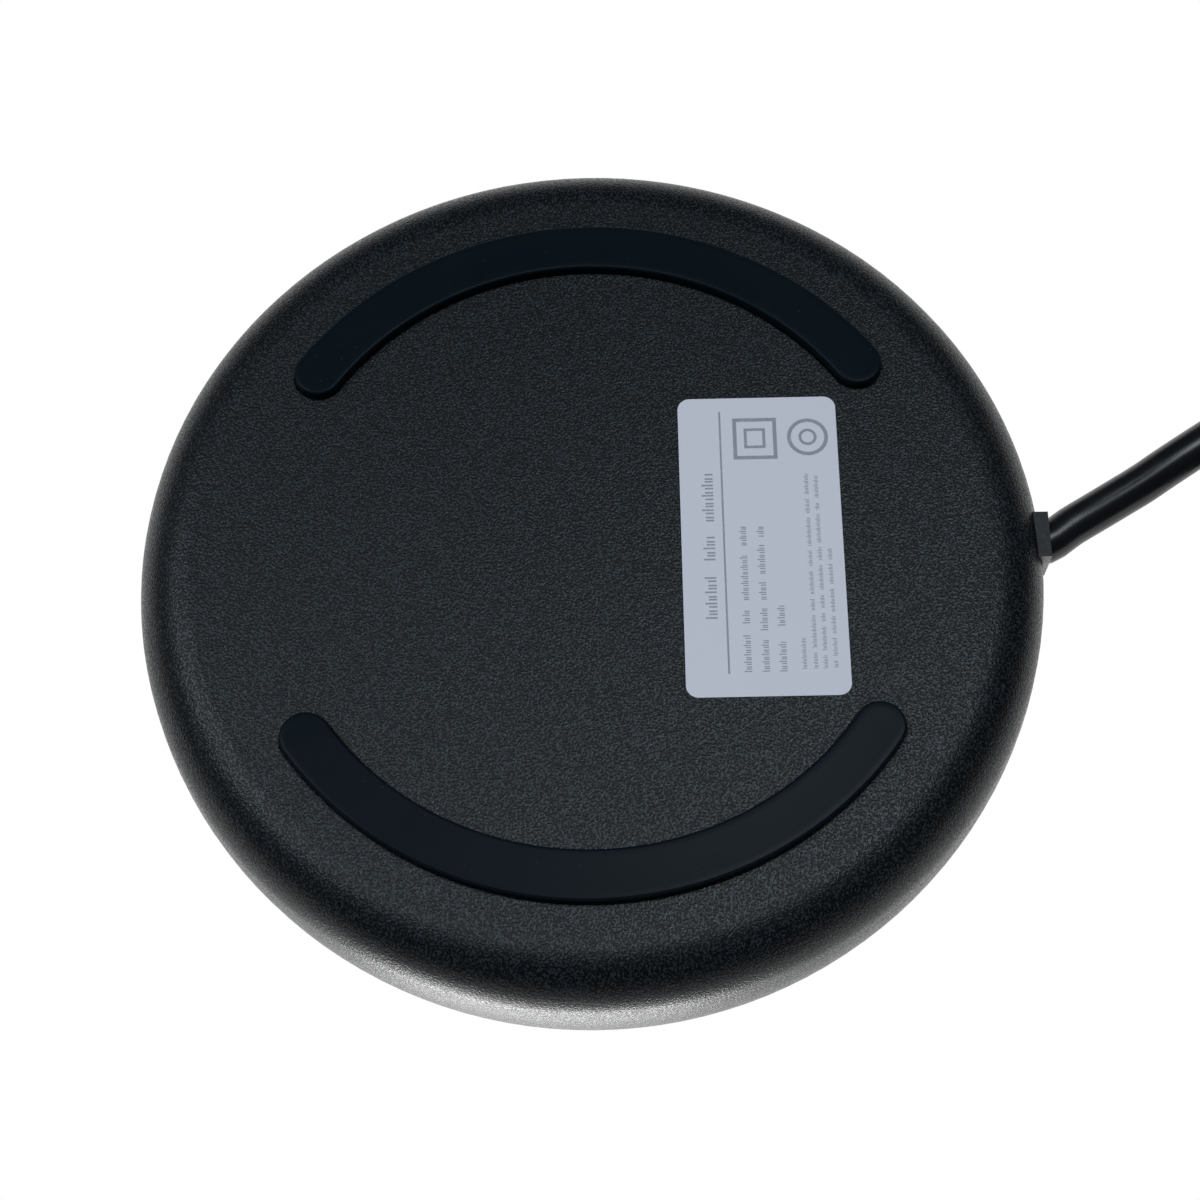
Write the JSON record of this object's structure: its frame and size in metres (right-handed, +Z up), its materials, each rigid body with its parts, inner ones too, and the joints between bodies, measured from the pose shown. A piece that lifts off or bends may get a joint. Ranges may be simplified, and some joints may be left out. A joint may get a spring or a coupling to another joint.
{
  "type": "electric mug warmer",
  "caption": "Low round electric mug warmer: black two-piece case on curved rubber feet, flat heating plate, push buttons, mains cord and plug.",
  "frame": {"origin": "centre of the round case on the surface that its feet stand on", "axes": "+Z up through the heating plate, +Y towards the cord at the back, the buttons at -Y"},
  "size_m": [0.119, 0.2485, 0.028],
  "materials": {
    "case_plastic": "fine spark-erosion texture, satin",
    "foot_rubber": "smooth, slightly glossy",
    "label_film": "printed film, satin",
    "plated_steel": "zinc plated",
    "plate_coating": "coated aluminium, satin black",
    "seal_silicone": "matt",
    "mica": "flaky sheet, satin",
    "heater_film": "etched foil",
    "ceramic_felt": "white ceramic fibre felt",
    "fuse_ceramic": "glazed",
    "probe_copper": "plain copper alloy",
    "button_plastic": "smooth, satin",
    "plunger_plastic": "moulded",
    "switch_plastic": "moulded",
    "lens_plastic": "clear light pipe",
    "led_epoxy": "clear epoxy",
    "board_laminate": "green solder mask",
    "film_capacitor": "moulded box",
    "capacitor_sleeve": "shrink sleeve",
    "package_epoxy": "moulded",
    "mains_insulation": "extruded",
    "heater_insulation": "silicone sleeve",
    "sensor_insulation": "extruded",
    "cord_pvc": "smooth black PVC",
    "bushing_plastic": "moulded nylon",
    "plug_pvc": "moulded PVC",
    "blade_metal": "nickel-washed brass",
    "tie_band": "woven hook-and-loop band"
  },
  "bodies": {
    "case": {"bottom_cover": "case_plastic", "top_cover": "case_plastic", "left_foot": "foot_rubber", "right_foot": "foot_rubber", "rating_label": "label_film", "case_screws": "plated_steel", "heating_plate": "plate_coating", "plate_seal": "seal_silicone", "upper_mica_sheet": "mica", "heating_element": "heater_film", "lower_mica_sheet": "mica", "clamp_plate": "plated_steel", "clamp_nuts": "plated_steel", "insulating_pad": "ceramic_felt", "thermal_fuse": "fuse_ceramic", "temperature_sensor": "probe_copper", "push_switches": "switch_plastic", "indicator_lenses": "lens_plastic", "indicator_leds": "led_epoxy", "control_board": "board_laminate", "board_screws": "plated_steel", "dropper_capacitor": "film_capacitor", "smoothing_capacitor": "capacitor_sleeve", "triac": "package_epoxy", "mains_leads": "mains_insulation", "heater_leads": "heater_insulation", "sensor_leads": "sensor_insulation", "cord_bushing": "bushing_plastic", "cord_inner_end": "cord_pvc", "power_cord": "cord_pvc", "cord_coil": "cord_pvc", "plug_cord": "cord_pvc", "cord_tie": "tie_band", "plug_body": "plug_pvc", "plug_blades": "blade_metal"},
    "power_button": {"power_button": "button_plastic", "power_switch_plunger": "plunger_plastic"},
    "temperature_button": {"temperature_button": "button_plastic", "temperature_switch_plunger": "plunger_plastic"}
  },
  "joints": [
    {"name": "power_button_press", "type": "slide", "parent": "case", "child": "power_button", "axis": [0, 0, -1], "range_m": [0, 0.0006], "stiffness_N_per_m": 800, "springref_m": -0.001},
    {"name": "temperature_button_press", "type": "slide", "parent": "case", "child": "temperature_button", "axis": [0, 0, -1], "range_m": [0, 0.0006], "stiffness_N_per_m": 800, "springref_m": -0.001}
  ]
}
